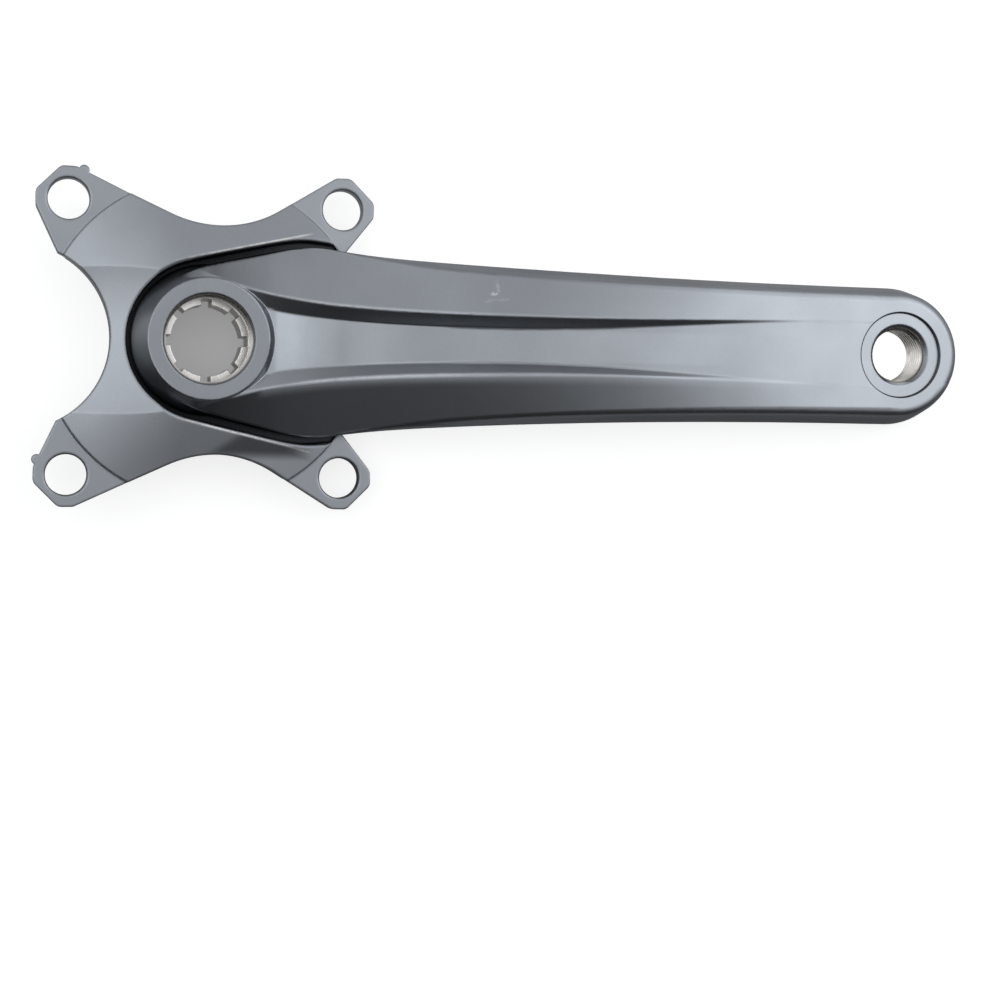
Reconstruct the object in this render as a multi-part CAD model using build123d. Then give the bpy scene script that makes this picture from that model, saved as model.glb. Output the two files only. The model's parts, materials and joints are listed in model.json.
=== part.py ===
from build123d import *
import os
from math import cos, exp, radians, sin, sqrt, tan

# Drive-side bicycle crank: a forged arm with its four-armed chainring spider.
# The spindle axis is Z, the outer side is up, and the pedal lies along +X.
# The origin is on the spindle axis, at the hub's inner face.

# Driving dimensions, in mm
crank_length = 175.0  # spindle axis to pedal axis
hub_height = 19.5  # inner hub face to the outer hub ring
pedal_height = 38.0  # inner hub face to the pedal face
pedal_thickness = 12.4  # pedal eye, front to back
pedal_half_width = 17.9  # round end of the pedal eye

# Hub of the arm
ring_radius = 15.0  # flat outer ring, on a steep cone
ring_stand = 0.25  # ring above the crests that start beside it
ring_edge = 0.35
hub_half_width = 19.2  # foot of the cone
hub_inset = 0.05  # the arm starts this far inside the cone
fan_start = -8.0  # where the outer faces begin to leave the cone
fan_end = 2.0
crest_margin = 1.0  # the crests aim just outside the ring
boss_radius = 17.0  # boss that carries the spider
swage_lip = 1.2  # rim rolled over the spider's back
swage_height = 0.8
extractor_radius = 11.0  # M22 extractor thread, at its outer diameter
extractor_depth = 9.0
extractor_chamfer = 0.45
spline_count = 8
land_radius = 8.9  # inner faces of the spline lands
groove_radius = 10.4
groove_width = 2.4
socket_chamfer = 0.8

# Pedal eye
pedal_thread_radius = 7.15  # 9/16 inch pedal thread, at its outer diameter
pedal_chamfer = 0.8
spot_radius = 10.9
spot_depth = 0.8

# Sculpted arm, between the two axes
arm_seat = 10.0  # back of the arm, on the spider's pocket floor
rise_start = 14.0  # where the crests begin to climb
back_rise_start = 10.0  # where the back leaves the seat
pedal_flat = 10.0  # level stretch before the pedal axis
root_radius = 18.3  # circle that the sides of the arm leave
root_angle = 13.5  # degrees, slope of the sides beside the hub
corner_blend = 0.7  # rounding where they turn towards the pedal
flare_end = 30.0  # where the free arm begins
flare_width = 6.0  # its half-width there above the pedal eye's
flare_fall = 48.0  # length over which the flare dies away
face_slope = 0.45  # fall of the outer faces at the hub
slope_start = 40.0  # where the outer faces begin to flatten
crest_waist = 6.8  # half-distance of the two crests at the waist
crest_spread = 1.6  # what they gain again by the pedal
crest_fall = 23.5
waist_place = 85.0
channel_depth = 2.9
channel_start = 0.6  # share of the depth beside the ring
channel_rise = 45.0  # length over which the channel gets deep
channel_open = 6.0  # length over which its walls open
channel_wall = 2.4  # width of a sloping wall, in plan
wall_flare = 1.8  # what a wall has more at the hub
channel_fade = 65.0  # where it begins to fade
channel_runout = 23.0  # where it ends, before the pedal axis
channel_trace = 0.003  # last depth of the fading edge
trace_width = 0.5
side_draft_hub = 0.4  # lean of the side wall at the hub
side_draft_arm = 2.2  # and along the arm
edge_round = 0.3  # crests and floor where the channel is closed
crest_round = 0.7  # and what they gain in the open channel
floor_round = 1.0
shoulder_round_hub = 1.0  # edge of the outer faces at the hub
shoulder_round_arm = 2.6  # and along the arm
back_round = 2.4
side_foot = 2.8  # widest line of the side above the back
arc_room = 0.9  # share of a side that the arcs at its two ends may take
station_count = 20
station_crowding = 1.4  # sections lie closer together at the hub

# Spider
arm_angles = (45, 135, 225, 315)
stop_angles = (135, 225)  # arms with a small stop on one flank
bolt_circle = 96.0
bolt_hole_radius = 5.05
hole_edge = 0.35
inner_bolt_circle = 64.0
inner_bolt_radius = 3.4  # M8 thread, tapping size
inner_bolt_depth = 7.0
inner_boss_radius = 6.4
inner_boss_face = 1.5  # height of the inner chainring's seat
tab_face = 11.0  # seat of the outer chainring
tab_back = 7.0  # seat of the middle chainring
tab_reach = 55.0  # spindle axis to the straight end of a tab
tab_end_half = 4.3  # half of that straight end
cheek_reach = 52.3  # where the flanks of a tab start
cheek_half = 6.9
tab_round = 2.2
flank_left = 0.36  # widening of the two arms away from the pedal
flank_outer = 0.23  # of the other two, on their outer flanks
flank_inner = 0.12  # and on the flanks that face each other
side_notch_round = 28.0  # between the arms above and below
inner_notch_round = 14.0  # between the arms under the crank
web_left = 23.6  # spindle axis to the web's edge away from the pedal
left_scallop = 23.0  # radius of that edge
pilot_radius = 40.4  # step that centres the outer chainring
pilot_height = 1.0
web_slope = 12.0  # degrees, rise of the web to the hub
back_pilot_radius = 39.8
back_pilot_height = 1.5
collar_radius = 22.5
collar_back = 3.0
press_clearance = 0.02
seat_clearance = 0.05  # between the arm's back and the pocket floor
pocket_gap = 0.8  # dark gap round the arm's hub
pocket_side = 1.3  # and beside the arm
rim_round = 0.8  # top edge of the pocket
pocket_points = 9  # on each side of the pocket's plan
scoop_radius = 86.0  # hollow of the web away from the pedal
scoop_shift = -0.9  # its middle, below the spindle axis in plan
scoop_floor = 12.3
scoop_fall = 9.5  # degrees
nub_radius = 1.3  # small stops on the flanks of two tabs
nub_reach = 50.4

cutter_length = 240.0  # tools that cut right through
low = (Align.CENTER, Align.CENTER, Align.MIN)  # solids stand on their place


def smooth(value):
    """Ease from 0 to 1, level at both ends."""
    t = min(max(value, 0.0), 1.0)
    return t * t * (3 - 2 * t)


def sweep_up(value):
    """Rise from 0 to 1 that is steepest at a quarter of the way."""
    t = min(max(value, 0.0), 1.0)
    return 1 - (1 - t) ** 4 * (1 + 4 * t)


# Shape of the arm at a distance x from the spindle axis

def crest_height(x):
    start = hub_height - ring_stand
    run = crank_length - pedal_flat - rise_start
    return start + (pedal_height - start) * sweep_up((x - rise_start) / run)


def back_height(x):
    run = crank_length - pedal_flat - back_rise_start
    end = pedal_height - pedal_thickness
    return arm_seat + (end - arm_seat) * sweep_up((x - back_rise_start) / run)


def plan_half(x, radius, extra):
    """Half-width in plan of sides that leave a circle and turn into the slimming arm."""
    slope = radians(root_angle)
    side = radius / cos(slope) + x * tan(slope)
    flare = flare_width * exp((flare_end - x) / flare_fall)
    flare *= 1 - smooth((x - flare_end) / (crank_length - flare_end)) ** 2
    slim = pedal_half_width + flare + extra
    return (side + slim) / 2 - sqrt(((side - slim) / 2) ** 2 + corner_blend ** 2)


def half_width(x):
    return plan_half(x, root_radius, 0)


def crest_half(x):
    near = (ring_radius + crest_margin - crest_waist) * exp(-x / crest_fall)
    return crest_waist + near + crest_spread * smooth((x - waist_place) / (crank_length - waist_place))


def wall_share(x):
    fade_run = crank_length - channel_runout - channel_fade
    return smooth(x / channel_open) * (1 - smooth((x - channel_fade) / fade_run))


def depth_share(x):
    return wall_share(x) * (channel_start + (1 - channel_start) * smooth(x / channel_rise))


def face_fall(x):
    return face_slope * (1 - smooth((x - slope_start) / (crank_length - slope_start)))


def leave_hub(x):
    return smooth((x - slope_start / 2) / slope_start)


def side_draft(x):
    return side_draft_hub + (side_draft_arm - side_draft_hub) * leave_hub(x)


def shoulder_round(x):
    return shoulder_round_hub + (shoulder_round_arm - shoulder_round_hub) * leave_hub(x)


def inside_hub(radius, x):
    """Half chord of the hub cone at x, a little inside it."""
    return sqrt(radius ** 2 - min(x, 0) ** 2) - hub_inset


def outer_points(x):
    """Half section from the crest round the side to the back."""
    top = crest_height(x)
    back = back_height(x)
    foot = back + side_foot
    crest = min(crest_half(max(x, 0)), inside_hub(ring_radius, x))
    wide = half_width(x)
    out = wide - side_draft(x)
    shoulder = Vector(out, top - (out - crest) * face_fall(x))
    on_cone = Vector(inside_hub((ring_radius + hub_half_width) / 2, x), (hub_height + foot) / 2)
    shoulder = on_cone + (shoulder - on_cone) * smooth((x - fan_start) / (fan_end - fan_start))
    return [
        (crest, top),
        (shoulder.X, shoulder.Y),
        (wide, foot),
        (wide - side_foot / 2, back),
    ]


def rounded_face(points, rounds):
    """Face inside a closed row of corners, each turned into an arc that its two sides have room for."""
    corners = [Vector(*point) for point in points]
    sides = [corners[i] - corners[i - 1] for i in range(len(corners))] + [corners[0] - corners[-1]]
    half_angles = [radians((-sides[i]).get_angle(sides[i + 1]) / 2) for i in range(len(corners))]
    reaches = [radius / tan(angle) for radius, angle in zip(rounds, half_angles)]
    rooms = []
    for i, side in enumerate(sides):
        need = reaches[i - 1] + reaches[i % len(corners)]
        rooms.append(min(1, arc_room * side.length / need) if need else 1)

    stops = []
    edges = []
    for i, corner in enumerate(corners):
        if rounds[i] == 0:
            stops.append((corner, corner))
            continue
        share = min(rooms[i], rooms[i + 1])
        radius = rounds[i] * share
        back = -sides[i].normalized()
        ahead = sides[i + 1].normalized()
        middle = corner + (back + ahead).normalized() * (radius / sin(half_angles[i]) - radius)
        stops.append((corner + back * reaches[i] * share, corner + ahead * reaches[i] * share))
        edges.append(ThreePointArc(stops[-1][0], middle, stops[-1][1]))
    for i, stop in enumerate(stops):
        edges.append(Line(stops[i - 1][1], stop[0]))
    return make_face(edges)


def arm_section(x):
    """Closed section across the arm, with the channel between its two crests."""
    share = wall_share(x)
    crest, shoulder, foot, back = outer_points(x)
    wall = trace_width + (channel_wall + wall_flare * exp(-x / crest_fall)) * share
    floor = (crest[0] - wall, crest[1] - channel_trace - channel_depth * depth_share(x))
    half = [floor, crest, shoulder, foot, back]
    top_rounds = [edge_round + floor_round * share, edge_round + crest_round * share]
    rounds = top_rounds + [shoulder_round(x), back_round, back_round]
    points = half + [(-y, z) for y, z in reversed(half)]
    plane = Plane(origin=(x, 0, 0), x_dir=(0, 1, 0), z_dir=(1, 0, 0))
    return plane * rounded_face(points, rounds + rounds[::-1])


def pedal_end():
    """Half turn of the arm's outer section about the pedal axis."""
    half = outer_points(crank_length)
    points = [(0, half[0][1])] + half + [(0, half[-1][1])]
    rounds = [0, 0, shoulder_round_arm, back_round, back_round, 0]
    side = Plane(origin=(crank_length, 0, 0), x_dir=(0, -1, 0), z_dir=(-1, 0, 0))
    axis = Axis((crank_length, 0, 0), (0, 0, 1))
    return revolve(side * rounded_face(points, rounds), axis=axis, revolution_arc=180)


def hub_cone():
    """Steep cone under the flat ring, round the spindle axis."""
    points = [
        (0, hub_height),
        (ring_radius, hub_height),
        (hub_half_width, arm_seat + side_foot),
        (hub_half_width - side_foot / 2, arm_seat),
        (0, arm_seat),
    ]
    rounds = [0, ring_edge, back_round, back_round, 0]
    return revolve(Plane.XZ * rounded_face(points, rounds), axis=Axis.Z)


def make_arm():
    run = crank_length - fan_start
    places = [fan_start + run * (i / station_count) ** station_crowding for i in range(station_count + 1)]
    body = loft([arm_section(x) for x in places])
    body += hub_cone()
    body += pedal_end()

    body += Cylinder(boss_radius, arm_seat + 1, align=low)
    lip_place = collar_back - swage_height
    body += Pos(0, 0, lip_place) * Cylinder(boss_radius + swage_lip, swage_height, align=low)

    return body - spindle_socket() - pedal_hole()


def spindle_socket():
    """Extractor bore above, eight-spline socket below."""
    seat = hub_height - extractor_depth
    bore = Pos(0, 0, seat) * Cylinder(extractor_radius, extractor_depth + 1, align=low)
    mouth = Pos(0, 0, hub_height - extractor_chamfer) * Cone(
        extractor_radius, extractor_radius + 2 * extractor_chamfer, 2 * extractor_chamfer, align=low
    )
    land = Pos(0, 0, -1) * Cylinder(land_radius, seat + 2, align=low)
    lead_wide = groove_radius + socket_chamfer
    lead = Cone(lead_wide, groove_radius - socket_chamfer, 2 * socket_chamfer, align=low)
    grooves = Part()
    blank = Cylinder(groove_radius, seat + 1, align=low)
    for turn in range(spline_count // 2):
        slot = Box(2 * groove_radius + 2, groove_width, seat + 1, align=low)
        grooves += Rot(0, 0, turn * 360 / spline_count) * slot
    return bore + mouth + land + lead + (grooves & blank)


def pedal_hole():
    """Threaded pedal hole with its spot face and a chamfer at each mouth."""
    bottom = pedal_height - pedal_thickness
    face = pedal_height - spot_depth
    bore = Pos(0, 0, bottom - 1) * Cylinder(pedal_thread_radius, pedal_thickness + 2, align=low)
    spot = Pos(0, 0, face) * Cylinder(spot_radius, spot_depth + 1, align=low)
    wide = pedal_thread_radius + pedal_chamfer
    front = Pos(0, 0, face - pedal_chamfer) * Cone(pedal_thread_radius, wide, pedal_chamfer, align=low)
    rear = Pos(0, 0, bottom) * Cone(wide, pedal_thread_radius, pedal_chamfer, align=low)
    return Pos(crank_length, 0, 0) * (bore + spot + front + rear)


def meet(start, along, other, across):
    """Point where two lines in the plan cross."""
    turn = along.X * across.Y - along.Y * across.X
    gap = other - start
    return start + along * ((gap.X * across.Y - gap.Y * across.X) / turn)


def spider_plan():
    """Plan of the four-armed star: tabs at the bolt circle, notches between the arms."""
    flanks = {45: (flank_inner, flank_outer), 135: (flank_left, flank_left),
              225: (flank_left, flank_left), 315: (flank_outer, flank_inner)}
    notches = {45: side_notch_round, 135: 0, 225: side_notch_round, 315: inner_notch_round}
    points = []
    rounds = []
    for angle, (near, far) in flanks.items():
        follow = (angle + 90) % 360
        leave = Vector(cheek_reach, cheek_half).rotate(Axis.Z, angle)
        leave_way = Vector(-1, far).rotate(Axis.Z, angle)
        reach = Vector(cheek_reach, -cheek_half).rotate(Axis.Z, follow)
        reach_way = Vector(-1, -flanks[follow][0]).rotate(Axis.Z, follow)
        notch = meet(leave, leave_way, reach, reach_way)
        tab = [Vector(cheek_reach, -cheek_half), Vector(tab_reach, -tab_end_half),
               Vector(tab_reach, tab_end_half), Vector(cheek_reach, cheek_half)]
        points += [point.rotate(Axis.Z, angle) for point in tab] + [notch]
        rounds += [tab_round] * len(tab) + [notches[angle]]
    star = rounded_face([(p.X, p.Y) for p in points], rounds)
    return star - Pos(-web_left - left_scallop, 0) * Circle(left_scallop)


def web_height(radius):
    return tab_face + pilot_height + (pilot_radius - radius) * tan(radians(web_slope))


def turned_blank():
    """Round blank with the steps that centre the chainrings."""
    bore = boss_radius + press_clearance
    rim = tab_reach + tab_end_half
    web_back = tab_back - back_pilot_height
    profile = Polyline(
        (bore, collar_back),
        (collar_radius, collar_back),
        (collar_radius, web_back),
        (back_pilot_radius, web_back),
        (back_pilot_radius, tab_back),
        (rim, tab_back),
        (rim, tab_face),
        (pilot_radius, tab_face),
        (pilot_radius, tab_face + pilot_height),
        (bore, web_height(bore)),
        close=True,
    )
    return revolve(Plane.XZ * make_face(profile), axis=Axis.Z)


def arm_pocket():
    """Room for the arm's hub inside the web, with the gap that shows round it."""
    nose = hub_half_width + pocket_gap
    slope = radians(root_angle)
    start = -nose * sin(slope)
    run = pilot_radius + pocket_side - start
    places = [start + run * i / (pocket_points - 1) for i in range(pocket_points)]
    side = [(x, plan_half(x, nose, pocket_side)) for x in places]
    mirrored = [(x, -y) for x, y in side]
    plan = make_face([
        Spline(side, tangents=[(cos(slope), sin(slope)), (1, 0)]),
        Line(side[-1], mirrored[-1]),
        Spline(mirrored, tangents=[(cos(slope), -sin(slope)), (1, 0)]),
        ThreePointArc(side[0], (-nose, 0), mirrored[0]),
    ])
    floor = arm_seat - seat_clearance
    room = extrude(Pos(0, 0, floor) * plan, hub_height)
    return room & Pos(0, 0, floor) * Cylinder(pilot_radius, hub_height, align=low)


def make_spider():
    blank = turned_blank() - arm_pocket()
    outer_rim = blank.faces().filter_by(GeomType.CONE).edges().sort_by(Edge.length)
    blank = fillet(outer_rim[:-1], rim_round)
    web = blank & extrude(Pos(0, 0, collar_back) * spider_plan(), hub_height)

    scoop = Rot(0, 90 - scoop_fall, 0) * Cylinder(scoop_radius, cutter_length)
    lift = scoop_floor + scoop_radius / cos(radians(scoop_fall)) + web_left * tan(radians(scoop_fall))
    half = Pos(-cutter_length / 2, 0, 0) * Box(cutter_length, cutter_length, cutter_length)
    web -= Pos(0, scoop_shift, lift) * scoop & half

    for angle in stop_angles:
        flank = cheek_half + flank_left * (cheek_reach - nub_reach)
        nub = Cylinder(nub_radius, tab_face - tab_back, align=low)
        web += Rot(0, 0, angle) * Pos(nub_reach, -flank, tab_back) * nub

    for angle in arm_angles:
        turn = Rot(0, 0, angle)
        boss = Cylinder(inner_boss_radius, arm_seat - inner_boss_face, align=low)
        web += turn * Pos(inner_bolt_circle / 2, 0, inner_boss_face) * boss
        thread = Cylinder(inner_bolt_radius, inner_bolt_depth, align=low)
        web -= turn * Pos(inner_bolt_circle / 2, 0, inner_boss_face) * thread
        web -= turn * Pos(bolt_circle / 2, 0, 0) * bolt_hole()
    return web


def bolt_hole():
    """Chainring bolt hole with a broken edge at each face."""
    bore = Pos(0, 0, tab_back) * Cylinder(bolt_hole_radius, tab_face - tab_back, align=low)
    wide = bolt_hole_radius + hole_edge
    top = Pos(0, 0, tab_face - hole_edge) * Cone(bolt_hole_radius, wide, hole_edge, align=low)
    bottom = Pos(0, 0, tab_back) * Cone(wide, bolt_hole_radius, hole_edge, align=low)
    return bore + top + bottom


os.makedirs("parts", exist_ok=True)
export_step(make_arm(), "parts/crank_arm.step")
export_step(make_spider(), "parts/spider.step")
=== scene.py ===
import json
from math import cos, pi, radians, sin

import bmesh
import bpy
from mathutils import Euler, Matrix, Vector


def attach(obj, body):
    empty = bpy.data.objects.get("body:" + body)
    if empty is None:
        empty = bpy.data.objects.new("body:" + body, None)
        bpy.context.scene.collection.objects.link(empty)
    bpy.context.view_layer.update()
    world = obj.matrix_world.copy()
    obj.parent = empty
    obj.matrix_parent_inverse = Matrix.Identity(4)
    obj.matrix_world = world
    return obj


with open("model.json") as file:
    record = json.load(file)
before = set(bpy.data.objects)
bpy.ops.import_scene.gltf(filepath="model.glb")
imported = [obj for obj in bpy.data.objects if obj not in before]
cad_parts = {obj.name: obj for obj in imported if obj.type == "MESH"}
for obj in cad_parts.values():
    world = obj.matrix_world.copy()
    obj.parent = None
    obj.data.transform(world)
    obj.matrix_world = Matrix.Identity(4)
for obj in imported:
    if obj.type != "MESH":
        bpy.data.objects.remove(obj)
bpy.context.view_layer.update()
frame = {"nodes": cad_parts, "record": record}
arm = frame["nodes"]["crank_arm"]
spider = frame["nodes"]["spider"]
mounts = {mount["name"]: mount for mount in frame["record"]["mounts"]}
spindleAxis = Vector((0, 0, 0))
pedalAxis = Vector(mounts["pedal_thread"]["pos_m"])
print("frame loaded: drive-side crank, lying on its inner side")


def addNode(tree, kind, sockets=None, **settings):
    node = tree.nodes.new(kind)
    for name, value in settings.items():
        setattr(node, name, value)
    for key, value in (sockets or {}).items():
        if isinstance(value, bpy.types.NodeSocket):
            tree.links.new(value, node.inputs[key])
        else:
            node.inputs[key].default_value = value
    return node


def maths(tree, operation, first, second=0.0, third=0.0, clamp=False):
    sockets = {0: first, 1: second, 2: third}
    return addNode(tree, "ShaderNodeMath", sockets, operation=operation, use_clamp=clamp).outputs[0]


def product(tree, first, *others):
    for other in others:
        first = maths(tree, "MULTIPLY", first, other)
    return first


def largest(tree, first, *others):
    for other in others:
        first = maths(tree, "MAXIMUM", first, other)
    return first


def vectorMaths(tree, operation, first, second):
    return addNode(tree, "ShaderNodeVectorMath", {0: first, 1: second}, operation=operation).outputs


def scaled(tree, vector, factor):
    return addNode(tree, "ShaderNodeVectorMath", {0: vector, 3: factor}, operation="SCALE").outputs[0]


def split(tree, vector):
    return addNode(tree, "ShaderNodeSeparateXYZ", {0: vector}).outputs


def ramp(tree, value, low, high, toLow=0.0, toHigh=1.0):
    sockets = {"Value": value, "From Min": low, "From Max": high, "To Min": toLow, "To Max": toHigh}
    return addNode(tree, "ShaderNodeMapRange", sockets, interpolation_type="SMOOTHSTEP").outputs[0]


def noise(tree, coords, scale, detail=2.0):
    sockets = {"Vector": coords, "Scale": scale, "Detail": detail, "Roughness": 0.5}
    return addNode(tree, "ShaderNodeTexNoise", sockets).outputs["Fac"]


def blendValue(tree, factor, first, second):
    return addNode(tree, "ShaderNodeMix", {0: factor, 2: first, 3: second}, data_type="FLOAT").outputs[0]


def mixColour(tree, factor, first, second):
    return addNode(tree, "ShaderNodeMix", {0: factor, 6: first, 7: second}, data_type="RGBA").outputs[2]


def shareLeft(tree, mask, share):
    # 1 outside a mask, and the share inside it
    return maths(tree, "MULTIPLY_ADD", mask, share - 1, 1.0)


def stopCurve(tree, value, reach, stops, low, high):
    # smooth curve through (place, level) stops; places lie within the reach, levels between low and high
    place = maths(tree, "MULTIPLY_ADD", value, 0.5 / reach, 0.5)
    node = addNode(tree, "ShaderNodeValToRGB", {0: place})
    levels = node.color_ramp
    levels.interpolation = "CARDINAL"
    while len(levels.elements) < len(stops):
        levels.elements.new(1.0)
    for element, (spot, _) in zip(levels.elements, stops):  # all places first, since they sort the elements
        element.position = spot / (2 * reach) + 0.5
    for element, (_, level) in zip(levels.elements, stops):
        grey = (level - low) / (high - low)
        element.color = (grey, grey, grey, 1)
    return maths(tree, "MULTIPLY_ADD", node.outputs[0], high - low, low)


def flatLength(tree, vector):
    flat = vectorMaths(tree, "MULTIPLY", vector, (1, 1, 0))[0]
    return addNode(tree, "ShaderNodeVectorMath", {0: flat}, operation="LENGTH").outputs["Value"]


def axisDistance(tree, coords, centre):
    # distance from an upright axis through a point, in metres
    return flatLength(tree, vectorMaths(tree, "SUBTRACT", coords, centre)[0])


def disc(tree, coords, centre, inner, outer):
    # 1 within the inner radius, 0 past the outer one
    return ramp(tree, axisDistance(tree, coords, centre), outer, inner)


def facing(tree, low, high):
    # ramp over how far a face looks outwards, from -1 for the back to 1 for the front
    normal = addNode(tree, "ShaderNodeNewGeometry").outputs["Normal"]
    return ramp(tree, split(tree, normal)[2], low, high)


def outerSide(tree):
    # faces that look away from the frame of the bicycle
    return facing(tree, 0.2, 0.5)


def objectCoords(tree):
    return addNode(tree, "ShaderNodeTexCoord").outputs["Object"]


def newMaterial(name):
    material = bpy.data.materials.new(name)
    material.use_nodes = True
    material.node_tree.nodes.clear()
    return material, material.node_tree


def closeMaterial(tree, shader):
    output = addNode(tree, "ShaderNodeOutputMaterial")
    tree.links.new(shader.outputs[0], output.inputs[0])


def clearBehind(tree, shader):
    # see-through from the back of its faces
    clear = addNode(tree, "ShaderNodeBsdfTransparent")
    back = addNode(tree, "ShaderNodeNewGeometry").outputs["Backfacing"]
    return addNode(tree, "ShaderNodeMixShader", {0: back, 1: shader.outputs[0], 2: clear.outputs[0]})


def linkObject(name, mesh):
    # turns a bmesh into an object of the scene
    data = bpy.data.meshes.new(name)
    mesh.to_mesh(data)
    mesh.free()
    made = bpy.data.objects.new(name, data)
    bpy.context.collection.objects.link(made)
    return made


metalLook = {
    "bare": (0.60, 0.585, 0.565, 1),
    "dull": (0.50, 0.482, 0.457, 1),  # in the pedal eye
    "grease": (0.44, 0.42, 0.385, 1),  # old grease on the splines
    "greased": 0.5,
    "greaseScale": 420.0,
    "greaseRange": (0.50, 0.72),
    "greaseRough": 0.22,
    "roughness": 0.27,
    "rootShade": 0.40,  # painted shade in the roots of the threads: share of the colour left there
    "marks": {"scale": 1400.0, "stretch": (1, 1, 9), "strength": 0.3, "height": 0.00001},  # they run round the bore
}


def machinedMetal(tree, coords, bare):
    # colour and roughness of bare turned metal with old grease in it
    patches = noise(tree, coords, metalLook["greaseScale"], 3.0)
    grease = ramp(tree, patches, *metalLook["greaseRange"], 0.0, metalLook["greased"])
    colour = mixColour(tree, grease, bare, metalLook["grease"])
    return colour, maths(tree, "MULTIPLY_ADD", grease, metalLook["greaseRough"], metalLook["roughness"])


def turnedMetal(name, bare, centre, root, tip):
    material, tree = newMaterial(name)
    coords = objectCoords(tree)
    colour, rough = machinedMetal(tree, coords, bare)
    depth = axisDistance(tree, coords, centre)
    # painted shade, darker towards the roots of the ridges
    colour = scaled(tree, colour, ramp(tree, depth, root, tip, metalLook["rootShade"], 1.0))
    marks = metalLook["marks"]
    fine = addNode(tree, "ShaderNodeMapping", {"Vector": coords, "Scale": marks["stretch"]}).outputs[0]
    bump = addNode(tree, "ShaderNodeBump", {
        "Strength": marks["strength"], "Distance": marks["height"], "Height": noise(tree, fine, marks["scale"])})
    closeMaterial(tree, addNode(tree, "ShaderNodeBsdfPrincipled", {
        "Base Color": colour, "Metallic": 1.0, "Roughness": rough, "Normal": bump.outputs[0]}))
    return material


paintLook = {
    "colour": (0.268, 0.283, 0.305, 1),
    "shade": (0.250, 0.264, 0.285, 1),  # slow drift of the colour
    "driftScale": 45.0,
    "driftRange": (0.35, 0.65),
    "grazing": (0.55, 0.55, 0.55, 1),  # how much a glancing look brightens it
    "crevice": 0.17,  # painted shade: what is left of the colour deep in a gap
    "creviceReach": 0.008,
    "creviceRange": (0.17, 0.58),  # openness of a gap that gets the full painted shade, and of one that gets none
    "backFrom": (-0.3, -0.6),  # faces that look this far down get no painted shade, they only lie close to the floor
    "roughness": 0.33,
    "roughDrift": 0.08,
    "flakeSize": 0.00018,
    "flakeGlint": 0.24,
    "peelSize": 0.0011,
    "peelHeight": 0.000010,
    "peelStrength": 0.4,
    "edgeWear": 0.35,  # how far the paint lightens on sharp edges
    "edgeTurn": (0.985, 0.86),  # likeness of the rounded and the true normal where that starts and is full
    "edgeScale": 300.0,
    "edgeRange": (0.45, 0.7),
    "lineColour": (0.66, 0.64, 0.61, 1),  # worn lines on the crests, and a painted highlight along the lip
    "lineScale": 700.0,
    "lineRange": (0.30, 0.60, 0.35, 1.0),  # how the lines break up
}


def basePaint(tree, coords, rounded, tone):
    # colour and roughness of satin paint, with painted shade in the gaps and worn edges
    drift = noise(tree, coords, paintLook["driftScale"], 3.0)
    tint = ramp(tree, drift, *paintLook["driftRange"])
    colour = mixColour(tree, tint, paintLook["colour"], paintLook["shade"])
    flakes = noise(tree, coords, 1 / paintLook["flakeSize"], 1.0)
    glint = maths(tree, "MULTIPLY_ADD", flakes, paintLook["flakeGlint"], 1 - paintLook["flakeGlint"] / 2)
    # painted shade: darker where little is open around, in gaps and between parts
    gap = addNode(tree, "ShaderNodeAmbientOcclusion", {"Distance": paintLook["creviceReach"]}, samples=8)
    gapShade = ramp(tree, gap.outputs["AO"], *paintLook["creviceRange"], paintLook["crevice"], 1.0)
    gapShade = blendValue(tree, facing(tree, *paintLook["backFrom"]), gapShade, 1.0)
    colour = scaled(tree, colour, product(tree, glint, gapShade, tone))
    rough = maths(tree, "MULTIPLY_ADD", drift, paintLook["roughDrift"],
                  paintLook["roughness"] - paintLook["roughDrift"] / 2)

    true = addNode(tree, "ShaderNodeNewGeometry").outputs["Normal"]
    same = vectorMaths(tree, "DOT_PRODUCT", rounded, true)["Value"]
    patches = ramp(tree, noise(tree, coords, paintLook["edgeScale"], 4.0), *paintLook["edgeRange"])
    worn = product(tree, ramp(tree, same, *paintLook["edgeTurn"]), patches, paintLook["edgeWear"])
    return mixColour(tree, worn, colour, metalLook["bare"]), rough


def wearAndHighlightLine(tree, coords, colour, offset, look, part):
    # broken pale line where an offset from a plan curve is nought: worn on the crests, a painted highlight on the lip
    line = ramp(tree, maths(tree, "ABSOLUTE", offset), look["halfWidth"], 0.0, 0.0, look["wear"])
    broken = ramp(tree, noise(tree, coords, paintLook["lineScale"], 4.0), *paintLook["lineRange"])
    return mixColour(tree, product(tree, line, broken, outerSide(tree), part), colour, paintLook["lineColour"])


def finishPaint(tree, coords, colour, rough, normal, leans):
    # leans the shading normal, adds the fine peel of sprayed paint and closes the material
    for lean in leans:
        normal = vectorMaths(tree, "ADD", normal, lean)[0]
    normal = addNode(tree, "ShaderNodeVectorMath", {0: normal}, operation="NORMALIZE").outputs[0]
    peel = addNode(tree, "ShaderNodeBump", {
        "Strength": paintLook["peelStrength"], "Distance": paintLook["peelHeight"],
        "Height": noise(tree, coords, 1 / paintLook["peelSize"]), "Normal": normal})
    closeMaterial(tree, addNode(tree, "ShaderNodeBsdfPrincipled", {
        "Base Color": colour, "Metallic": 1.0, "Roughness": rough, "Normal": peel.outputs[0],
        "Specular Tint": paintLook["grazing"]}))


def dress(node, material):
    node.data.materials.clear()
    node.data.materials.append(material)


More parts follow.
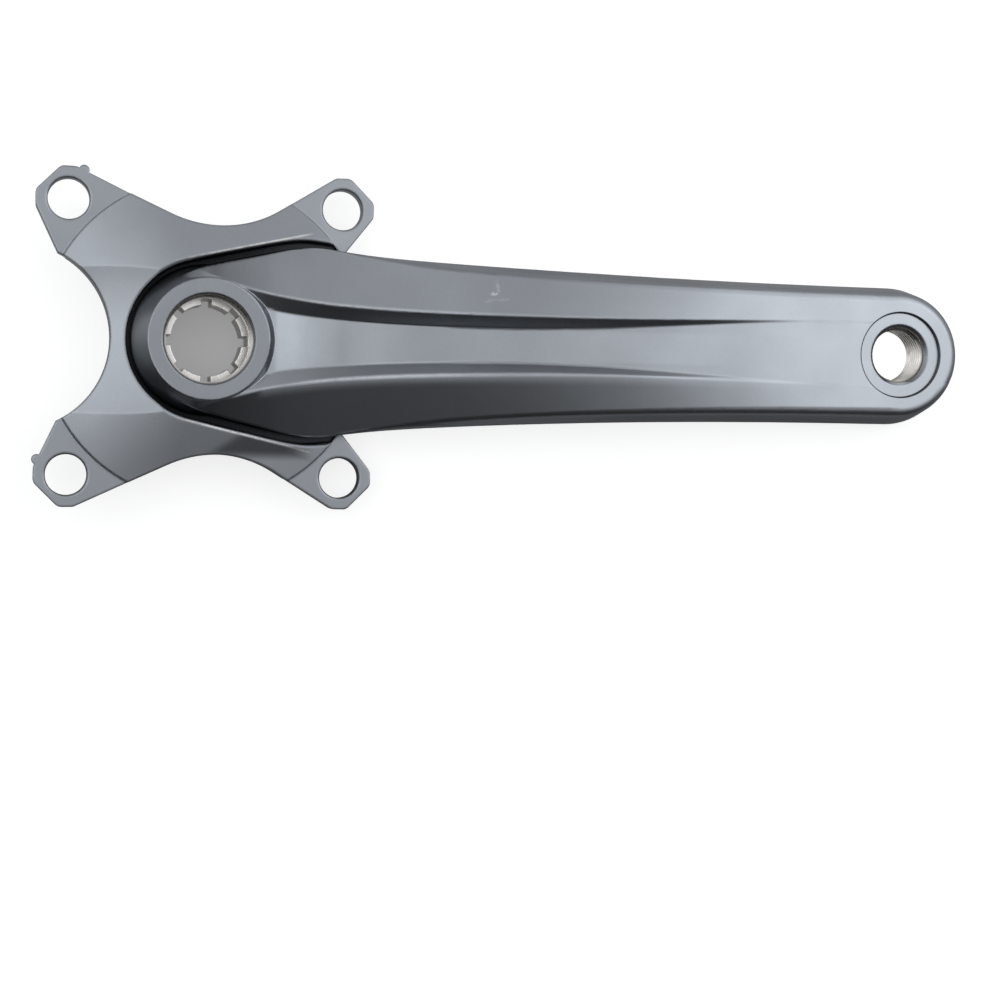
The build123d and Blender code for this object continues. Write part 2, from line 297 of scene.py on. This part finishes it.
armLook = {
    "tone": 1.0,
    "edgeRound": 0.0005,
    "bores": [
        # axis, radius and colour of the bare metal
        (spindleAxis, 0.01108, metalLook["bare"]),
        (pedalAxis, 0.00722, metalLook["dull"]),
    ],
    "boreSoft": 0.0001,
    # the flat ring of the hub is a little darker
    "ring": {"shade": 0.80, "radii": (0.0149, 0.0153), "heights": (0.0190, 0.0194)},
    # painted shade along the edge of the seat that the pedal axle turns on, and the share of the colour left in it
    "groove": {"radius": 0.0109, "halfWidth": 0.00032, "core": 0.4, "left": 0.10},
    "crest": {
        # plan of the two crests: half-distance, what it gains at the hub, and over what length that dies away
        "waist": 0.0068, "near": 0.0092, "fall": 0.0235,
        "from": (0.011, 0.014), "lowerTo": 0.095, "upperTo": 0.048, "fadeFrom": 0.4,  # worn stretch of each
        "halfWidth": 0.00026,
        "wear": 0.18,
        # how the lower one rounds off outwards: strength, offset at which that ends, and at which it starts
        "soft": 0.60, "softReach": (0.0032, -0.0004), "softStart": (0.0, 0.0002),
    },
    "channel": {
        # what its floor leans more than the solid's, as a slope at each distance from the spindle
        "lean": [(0.010, -0.10), (0.0188, -0.138), (0.022, -0.21), (0.0255, -0.22), (0.029, -0.145),
                 (0.033, -0.055), (0.037, -0.02), (0.046, -0.045), (0.058, -0.068), (0.071, -0.045),
                 (0.084, -0.06), (0.097, -0.065), (0.1075, -0.05), (0.1185, -0.03), (0.134, 0.0),
                 (0.143, 0.02), (0.152, 0.0)],
        # and across the arm
        "roll": [(0.028, 0.0), (0.038, 0.06), (0.047, 0.09), (0.057, 0.08), (0.066, 0.03), (0.074, 0.0)],
        "reach": 0.2, "slopes": (-0.3, 0.3),
        "floorEdge": (0.0004, -0.0006), "floorFrom": (0.0155, 0.0175),  # at the walls' feet, and at the hub
        # its walls: width, what that gains at the hub, depth, the share of it at the hub and the length it grows over
        "wall": 0.0029, "wallGain": 0.0018, "depth": 0.0029, "depthStart": 0.6, "depthRise": 0.045,
        "footHalf": 0.00045,  # half-width of the rounding at a wall's foot
        # where the foot is evened: from and to along the arm, and how far inside the crest
        "evenFrom": (0.0150, 0.0170), "evenTo": (0.064, 0.056), "evenBelow": (-0.0008, -0.0014),
    },
    "soil": {
        # painted shade: share of the colour that is left on the faces beside the hub, at each distance from the
        # spindle
        "faces": [(-0.006, 1.0), (0.0, 0.58), (0.005, 0.53), (0.010, 0.60), (0.015, 0.71), (0.020, 0.90),
                  (0.026, 1.0)],
        "reach": 0.03, "levels": (0.0, 1.2),
        "facesPast": (-0.0002, 0.0004), "skirt": (0.0150, 0.0154),  # past the crest, and past the hub's ring
        # and painted shade on the sides, down in the spider's pocket
        "sides": 0.22, "steep": (0.80, 0.55), "sidesPast": (0.0015, 0.0025),
        "sidesFrom": (-0.002, 0.002), "sidesTo": (0.0335, 0.0295),
    },
    "scuffs": {
        "colour": (0.60, 0.62, 0.66, 1),
        "roughness": 0.6,
        "breakScale": 1800.0, "breakRange": (0.30, 0.62),
        "edge": 1.15,
        "heights": (0.0215, 0.0225),  # on the outer side only
        # place of each pale mark on the upper face, its turn in degrees, half length, half width and strength
        "marks": [
            {"place": (0.0695, 0.0128), "turn": 4, "half": (0.0013, 0.0006), "strength": 1.0},
            {"place": (0.0706, 0.0146), "turn": 95, "half": (0.0022, 0.0006), "strength": 0.3},
            {"place": (0.0684, 0.0110), "turn": 14, "half": (0.0020, 0.0006), "strength": 0.25},
            {"place": (0.0717, 0.0113), "turn": 3, "half": (0.0020, 0.0005), "strength": 0.25},
        ],
    },
}


def crestPlan(tree, coords):
    # place along the arm, its side, offset outwards from the crest, and width of the channel's wall there
    crest, channel = armLook["crest"], armLook["channel"]
    x, y, _ = split(tree, coords)
    gain = maths(tree, "EXPONENT", maths(tree, "MULTIPLY", x, -1 / crest["fall"]))
    half = maths(tree, "MULTIPLY_ADD", gain, crest["near"], crest["waist"])
    wall = maths(tree, "MULTIPLY_ADD", gain, channel["wallGain"], channel["wall"])
    offset = maths(tree, "SUBTRACT", maths(tree, "ABSOLUTE", y), half)
    return x, maths(tree, "SIGN", y), offset, wall


def crestWear(tree, coords, colour):
    crest = armLook["crest"]
    x, side, offset, _ = crestPlan(tree, coords)
    lower, upper = [ramp(tree, x, end, crest["fadeFrom"] * end) for end in (crest["lowerTo"], crest["upperTo"])]
    fade = blendValue(tree, maths(tree, "GREATER_THAN", side, 0.0), lower, upper)
    part = product(tree, ramp(tree, x, *crest["from"]), fade)
    return wearAndHighlightLine(tree, coords, colour, offset, crest, part)


def paintedHubShade(tree, coords):
    # painted shade: share of the colour that is left beside the hub, on the arm's faces and down its sides
    soil = armLook["soil"]
    x, _, offset, _ = crestPlan(tree, coords)
    faces = stopCurve(tree, x, soil["reach"], soil["faces"], *soil["levels"])
    onFaces = product(tree, ramp(tree, offset, *soil["facesPast"]),
                      ramp(tree, axisDistance(tree, coords, spindleAxis), *soil["skirt"]))
    inPocket = product(tree, ramp(tree, x, *soil["sidesFrom"]), ramp(tree, x, *soil["sidesTo"]))
    onSides = product(tree, facing(tree, *soil["steep"]), inPocket, ramp(tree, offset, *soil["sidesPast"]))
    return product(tree, blendValue(tree, onFaces, 1.0, faces), blendValue(tree, onSides, 1.0, soil["sides"]))


def hubRing(tree, coords):
    ring = armLook["ring"]
    height = split(tree, coords)[2]
    flat = product(tree, disc(tree, coords, spindleAxis, *ring["radii"]), ramp(tree, height, *ring["heights"]))
    return shareLeft(tree, flat, ring["shade"])


def seatGroove(tree, coords):
    # painted shade in a thin ring round the seat's edge
    groove = armLook["groove"]
    offset = maths(tree, "SUBTRACT", axisDistance(tree, coords, pedalAxis), groove["radius"])
    line = ramp(tree, maths(tree, "ABSOLUTE", offset), groove["halfWidth"], groove["core"] * groove["halfWidth"])
    return shareLeft(tree, product(tree, line, outerSide(tree)), groove["left"])


def scuffMask(tree, coords):
    scuffs = armLook["scuffs"]
    spots = []
    for mark in scuffs["marks"]:
        centred = addNode(tree, "ShaderNodeMapping", {
            "Vector": coords, "Location": (*mark["place"], 0), "Rotation": (0, 0, radians(mark["turn"])),
            "Scale": (*mark["half"], 1)}, vector_type="TEXTURE").outputs[0]
        spots.append(ramp(tree, flatLength(tree, centred), scuffs["edge"], 0.0, 0.0, mark["strength"]))
    broken = ramp(tree, noise(tree, coords, scuffs["breakScale"], 3.0), *scuffs["breakRange"])
    return product(tree, largest(tree, *spots), broken, ramp(tree, split(tree, coords)[2], *scuffs["heights"]))


def leanAlong(tree, coords):
    # tilt of the normal on the channel's floor, between its two walls
    channel = armLook["channel"]
    x, _, offset, wall = crestPlan(tree, coords)
    inside = ramp(tree, maths(tree, "ADD", offset, wall), *channel["floorEdge"])
    part = product(tree, inside, ramp(tree, x, *channel["floorFrom"]), outerSide(tree), -1.0)
    along, across = [product(tree, stopCurve(tree, x, channel["reach"], channel[way], *channel["slopes"]), part)
                     for way in ("lean", "roll")]
    return addNode(tree, "ShaderNodeCombineXYZ", {0: along, 1: across}).outputs[0]


def leanAcross(tree, coords, normal):
    # evens the foot of the channel's walls near the hub, and rounds the lower crest off outwards
    channel, crest = armLook["channel"], armLook["crest"]
    x, side, offset, wall = crestPlan(tree, coords)
    _, tilt, up = split(tree, normal)
    full = channel["depth"]
    depth = ramp(tree, x, 0.0, channel["depthRise"], full * channel["depthStart"], full)
    foot = ramp(tree, maths(tree, "ADD", offset, wall), -channel["footHalf"], channel["footHalf"])
    wanted = product(tree, maths(tree, "DIVIDE", depth, wall), foot, side, up, -1.0)
    part = product(tree, ramp(tree, x, *channel["evenFrom"]), ramp(tree, x, *channel["evenTo"]),
                   ramp(tree, offset, *channel["evenBelow"]))
    even = product(tree, maths(tree, "SUBTRACT", wanted, tilt), part)

    soften = product(tree, ramp(tree, offset, *crest["softReach"]),
                     ramp(tree, offset, *crest["softStart"], 0.0, -crest["soft"]),
                     maths(tree, "LESS_THAN", side, 0.0), ramp(tree, x, *crest["from"]))
    shift = product(tree, maths(tree, "MULTIPLY_ADD", tilt, soften, even), outerSide(tree))
    return addNode(tree, "ShaderNodeCombineXYZ", {1: shift}).outputs[0]


def armPaint():
    material, tree = newMaterial("satin_grey_arm")
    coords = objectCoords(tree)
    rounded = addNode(tree, "ShaderNodeBevel", {"Radius": armLook["edgeRound"]}, samples=6).outputs[0]
    colour, rough = basePaint(tree, coords, rounded, armLook["tone"])
    # a darker flat ring, and painted shade beside the hub
    colour = scaled(tree, colour, product(tree, hubRing(tree, coords), paintedHubShade(tree, coords)))
    colour = crestWear(tree, coords, colour)
    colour = scaled(tree, colour, seatGroove(tree, coords))
    marks = scuffMask(tree, coords)
    colour = mixColour(tree, marks, colour, armLook["scuffs"]["colour"])
    rough = blendValue(tree, marks, rough, armLook["scuffs"]["roughness"])
    soft = armLook["boreSoft"]
    for axis, radius, bare in armLook["bores"]:
        bored = disc(tree, coords, axis, radius - soft, radius + soft)
        metal, metalRough = machinedMetal(tree, coords, bare)
        colour = mixColour(tree, bored, colour, metal)
        rough = blendValue(tree, bored, rough, metalRough)
    leans = [leanAlong(tree, coords), leanAcross(tree, coords, rounded)]
    finishPaint(tree, coords, colour, rough, rounded, leans)
    return material


spiderLook = {
    "tone": 0.90,
    "edgeRound": 0.0008,
    # heights between which the floor of the arm's pocket ends, and the share of the colour left on it: painted shade
    # down in the pocket
    "pocket": {"heights": (0.0106, 0.0103), "left": 0.20},
    "lip": {
        # painted highlight along the inner lip; its plan: a circle round the hub, and two sides that leave it
        "radius": 0.02062,
        "sideTurn": 13.5,
        "from": (-0.010, 0.002), "to": (0.027, 0.024),
        "halfWidth": 0.00042,
        "wear": 0.65,
    },
    "web": {
        "fall": 0.2126,  # slope of the webs away from the lip
        "lowerFall": (0.38, 0.075),  # slope of the lower one, from steep at the lip to flatter outside
        "lowerTurn": (0.0268, 0.0302),  # where it flattens, away from the arm
        "lowerEnd": (0.019, 0.028),  # and along it
        "lowerStart": (0.0005, 0.0060), "lowerSlant": 1.5,  # where it begins to be steep, on a line that runs aslant
        "heights": (0.0116, 0.0119),
        "besideHalf": 0.0005,
    },
}


def lipHighlight(tree, coords, colour):
    lip = spiderLook["lip"]
    x, y, _ = split(tree, coords)
    turn = radians(lip["sideTurn"])
    across = maths(tree, "MULTIPLY", maths(tree, "ABSOLUTE", y), cos(turn))
    offset = maths(tree, "SUBTRACT", maths(tree, "MULTIPLY_ADD", x, -sin(turn), across), lip["radius"])
    part = product(tree, ramp(tree, x, *lip["from"]), ramp(tree, x, *lip["to"]))
    return wearAndHighlightLine(tree, coords, colour, offset, lip, part)


def leanAside(tree, coords):
    # tilt of the normal on the two webs beside the arm, so that they fall square to the lip
    web = spiderLook["web"]
    turn = radians(spiderLook["lip"]["sideTurn"])
    x, y, z = split(tree, coords)
    out = maths(tree, "ABSOLUTE", y)
    side = maths(tree, "SIGN", y)
    slant = web["lowerSlant"]
    start = maths(tree, "MULTIPLY_ADD", out, slant, maths(tree, "ADD", x, -slant * web["lowerTurn"][0]))
    lower = product(tree, maths(tree, "LESS_THAN", side, 0.0), ramp(tree, start, *web["lowerStart"]))
    flat = largest(tree, ramp(tree, out, *web["lowerTurn"]), ramp(tree, x, *web["lowerEnd"]))
    fall = blendValue(tree, lower, web["fall"], blendValue(tree, flat, *web["lowerFall"]))
    # the solid's slope runs out from the hub: that is taken away, and one square to the lip is added
    radial = maths(tree, "DIVIDE", -web["fall"], axisDistance(tree, coords, spindleAxis))
    leanX = maths(tree, "MULTIPLY_ADD", x, radial, product(tree, fall, -sin(turn)))
    leanY = maths(tree, "MULTIPLY_ADD", y, radial, product(tree, side, fall, cos(turn)))
    beside = maths(tree, "MULTIPLY_ADD", out, sin(turn), maths(tree, "MULTIPLY", x, cos(turn)))
    part = product(tree, ramp(tree, beside, -web["besideHalf"], web["besideHalf"]),
                   ramp(tree, z, *web["heights"]), outerSide(tree))
    return scaled(tree, addNode(tree, "ShaderNodeCombineXYZ", {0: leanX, 1: leanY}).outputs[0], part)


def spiderPaint():
    material, tree = newMaterial("satin_grey_spider")
    coords = objectCoords(tree)
    rounded = addNode(tree, "ShaderNodeBevel", {"Radius": spiderLook["edgeRound"]}, samples=6).outputs[0]
    colour, rough = basePaint(tree, coords, rounded, spiderLook["tone"])
    pocket = spiderLook["pocket"]
    # painted shade on the floor of the arm's pocket
    pocketFloor = product(tree, ramp(tree, split(tree, coords)[2], *pocket["heights"]), outerSide(tree))
    colour = scaled(tree, colour, shareLeft(tree, pocketFloor, pocket["left"]))
    # painted highlight along the lip
    colour = lipHighlight(tree, coords, colour)
    finishPaint(tree, coords, colour, rough, rounded, [leanAside(tree, coords)])
    return material


dress(arm, armPaint())
dress(spider, spiderPaint())
print("finishes on the arm and the spider")

threadLook = {
    # bore to cut in, and the heights, pitch and depth of its ridges in metres
    "extractorThread": {"mount": "extractor_thread", "bottom": 0.0138, "top": 0.0191, "pitch": 0.001,
                        "depth": 0.00054, "colour": metalLook["bare"]},
    "pedalThread": {"mount": "pedal_thread", "bottom": 0.0262, "top": 0.0366, "pitch": 0.00127,
                    "depth": 0.00068, "colour": metalLook["dull"]},
}
ridgeLook = {
    "tip": (0.38, 0.54), "foot": 0.92,  # where its flat tip lies and its far foot ends, in pitches
    "steps": 80,  # in one turn
    "bite": 0.00004,  # how far it sits in the wall
    "runout": 0.35,  # turns over which its ends run out
    "runoutLeft": 0.08,  # part of the depth that is left at the very ends
    "sharpAngle": 25,
}


def cutThread(name, look):
    mount = mounts[look["mount"]]
    x, y, _ = mount["pos_m"]
    wall = mount["dims"]["r_mm"] / 1000 + ridgeLook["bite"]
    pitch, depth = look["pitch"], look["depth"]
    turns = int((look["top"] - look["bottom"]) / pitch) - 1
    tipStart, tipEnd = [part * pitch for part in ridgeLook["tip"]]
    ridge = bmesh.new()
    corners = [(wall, 0.0), (wall - depth, tipStart), (wall - depth, tipEnd), (wall, ridgeLook["foot"] * pitch)]
    section = [ridge.verts.new((x - out, y, look["bottom"] + up)) for out, up in corners]
    ring = [ridge.edges.new((section[i - 1], section[i])) for i in range(len(section))]
    bmesh.ops.spin(ridge, geom=section + ring, cent=(x, y, 0), axis=(0, 0, 1),
                   dvec=(0, 0, pitch / ridgeLook["steps"]), angle=2 * pi * turns, steps=turns * ridgeLook["steps"])
    bmesh.ops.holes_fill(ridge, edges=ridge.edges, sides=len(section))  # close both ends
    first = look["bottom"] + (tipStart + tipEnd) / 2
    last = first + turns * pitch
    for vert in ridge.verts:  # both ends run out into the wall
        out = Vector((vert.co.x - x, vert.co.y - y))
        if out.length < wall - depth / 2:
            run = min(vert.co.z - first, last - vert.co.z) / (ridgeLook["runout"] * pitch)
            out *= (wall - depth * min(max(run, ridgeLook["runoutLeft"]), 1.0)) / out.length
            vert.co.x, vert.co.y = x + out.x, y + out.y
    bmesh.ops.remove_doubles(ridge, verts=ridge.verts, dist=1e-7)
    bmesh.ops.recalc_face_normals(ridge, faces=ridge.faces)
    for face in ridge.faces:
        face.smooth = True
    piece = linkObject(name, ridge)
    piece.data.set_sharp_from_angle(angle=radians(ridgeLook["sharpAngle"]))
    piece.data.materials.append(turnedMetal("turned_" + name, look["colour"], mount["pos_m"], wall, wall - depth))
    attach(piece, "root")


for threadName, threadValues in threadLook.items():
    cutThread(threadName, threadValues)
print("threads cut in the hub and the pedal eye")

floorLook = {
    "lieAngle": 8.5,  # degrees, the arm rests on its hub and on the pedal end
    "hubContact": 0.017,
    "gap": 0.0003,
    "size": 3.0,
    "colour": (0.30, 0.30, 0.30, 1),
    "glow": 0.78,
    # part of the glow that the object mirrors, from its lower to its upper photo side
    "mirrored": (0.0, 0.51), "mirrorTurn": (-0.03, 0.03),
    # the bore walls and the back mirror all of it, so these are the places under them
    "underHub": {"radii": (0.0125, 0.0135), "shade": 0.27},  # painted shade on the floor inside the hub: what is left of the glow there
    # painted light: more glow on the floor under the pedal eye
    "underEye": {"radii": (0.010, 0.011), "shade": 1.2},
    "underBoss": (0.020, 0.024),
    "underArm": {"aside": (0.014, 0.011), "from": (0.0, 0.005), "to": (0.185, 0.178)},
}


def addFloor():
    mesh = bmesh.new()
    bmesh.ops.create_grid(mesh, x_segments=1, y_segments=1, size=floorLook["size"])
    bmesh.ops.rotate(mesh, verts=mesh.verts, matrix=Matrix.Rotation(-radians(floorLook["lieAngle"]), 3, "Y"))
    bmesh.ops.translate(mesh, verts=mesh.verts, vec=(floorLook["hubContact"], 0, -floorLook["gap"]))
    floor = linkObject("floor", mesh)

    material, tree = newMaterial("pale_floor")
    coords = objectCoords(tree)
    along, aside, _ = split(tree, coords)
    hub, eye, strip = floorLook["underHub"], floorLook["underEye"], floorLook["underArm"]
    underHub = disc(tree, coords, spindleAxis, *hub["radii"])
    underEye = disc(tree, coords, pedalAxis, *eye["radii"])
    underBoss = disc(tree, coords, spindleAxis, *floorLook["underBoss"])
    underArm = product(tree, ramp(tree, maths(tree, "ABSOLUTE", aside), *strip["aside"]),
                       ramp(tree, along, *strip["from"]), ramp(tree, along, *strip["to"]))
    share = ramp(tree, aside, *floorLook["mirrorTurn"], *floorLook["mirrored"])
    share = largest(tree, share, underHub, underEye, underArm, underBoss)
    light = addNode(tree, "ShaderNodeLightPath").outputs
    mirrored = maths(tree, "ADD", light["Is Glossy Ray"], light["Is Transmission Ray"], clamp=True)
    seen = maths(tree, "MULTIPLY_ADD", mirrored, share, light["Is Camera Ray"])
    # painted shade on the floor under the hub, and painted light under the pedal eye
    shade = maths(tree, "MULTIPLY_ADD", underEye, eye["shade"] - 1, shareLeft(tree, underHub, hub["shade"]))
    strength = product(tree, seen, shade, floorLook["glow"])
    glow = addNode(tree, "ShaderNodeEmission", {"Color": (1, 1, 1, 1), "Strength": strength})
    matt = addNode(tree, "ShaderNodeBsdfDiffuse", {"Color": floorLook["colour"]})
    lit = addNode(tree, "ShaderNodeAddShader", {0: glow.outputs[0], 1: matt.outputs[0]})
    closeMaterial(tree, clearBehind(tree, lit))  # clear from below
    floor.data.materials.append(material)


sheetLook = {
    # a soft sheet of light over the table; brightness from lower to upper photo side, and gain from left to right
    "height": 0.56,
    "reach": 1.5,
    "tint": (0.97, 0.985, 1, 1),
    "across": [(-1.5, 0.05), (-0.6, 0.03), (-0.45, 0.08), (-0.3, 0.26), (-0.18, 0.37), (-0.06, 0.82),
               (0.03, 1.0), (0.15, 1.16), (0.3, 0.82), (0.5, 0.74), (1.5, 0.48)],
    "along": [(-1.5, 0.8), (-0.4, 1.7), (-0.2, 2.2), (-0.07, 0.90), (0.05, 1.26), (0.2, 1.6), (0.4, 2.6),
              (0.8, 2.2), (1.5, 0.9)],
    "fill": {"place": (-0.20, -0.11, 0), "radius": 0.24, "level": 1.10},
    "brightest": 2.7,
    "rimAcross": [(-1, 0.02), (-0.5, 0.045), (0.2, 0.62), (1, 0.50)],  # around the sheet, low down
}


def addSheet():
    mesh = bmesh.new()
    bmesh.ops.create_grid(mesh, x_segments=1, y_segments=1, size=sheetLook["reach"])
    bmesh.ops.reverse_faces(mesh, faces=mesh.faces)  # it shines down
    bmesh.ops.translate(mesh, verts=mesh.verts, vec=(0, 0, sheetLook["height"]))
    sheet = linkObject("lightSheet", mesh)

    material, tree = newMaterial("light_sheet")
    coords = objectCoords(tree)
    x, y, _ = split(tree, coords)
    across, along = [stopCurve(tree, place, sheetLook["reach"], sheetLook[way], 0.0, sheetLook["brightest"])
                     for place, way in ((y, "across"), (x, "along"))]
    fill = sheetLook["fill"]
    extra = ramp(tree, axisDistance(tree, coords, fill["place"]), fill["radius"], 0.0, 0.0, fill["level"])
    strength = maths(tree, "MULTIPLY_ADD", across, along, extra)
    glow = addNode(tree, "ShaderNodeEmission", {"Color": sheetLook["tint"], "Strength": strength})
    closeMaterial(tree, clearBehind(tree, glow))  # clear from above
    sheet.data.materials.append(material)


def addSky():
    world = bpy.data.worlds.new("studio")
    bpy.context.scene.world = world
    world.use_nodes = True
    tree = world.node_tree
    tree.nodes.clear()
    way = split(tree, addNode(tree, "ShaderNodeTexCoord").outputs["Generated"])
    glow = stopCurve(tree, way[1], 1.0, sheetLook["rimAcross"], 0.0, sheetLook["brightest"])
    light = addNode(tree, "ShaderNodeLightPath").outputs
    strength = blendValue(tree, light["Is Camera Ray"], glow, 1.0)
    background = addNode(tree, "ShaderNodeBackground", {"Color": sheetLook["tint"], "Strength": strength})
    output = addNode(tree, "ShaderNodeOutputWorld")
    tree.links.new(background.outputs[0], output.inputs[0])


cameraLook = {
    "place": (-0.04575, -0.02528, 0.51465),
    "turn": (-1.7554, -13.5762, 0.9715),  # degrees
    "lens": 72.0,
    "sensor": 36.0,
    "nearest": 0.01,
}


def addCamera():
    data = bpy.data.cameras.new("photoCamera")
    data.lens = cameraLook["lens"]
    data.sensor_width = cameraLook["sensor"]
    data.clip_start = cameraLook["nearest"]
    camera = bpy.data.objects.new("photoCamera", data)
    camera.location = cameraLook["place"]
    camera.rotation_euler = Euler([radians(angle) for angle in cameraLook["turn"]])
    bpy.context.collection.objects.link(camera)
    bpy.context.scene.camera = camera


addFloor()
addSheet()
addSky()
addCamera()
bpy.context.scene.view_settings.view_transform = "Standard"
print("floor, lamps and camera set")
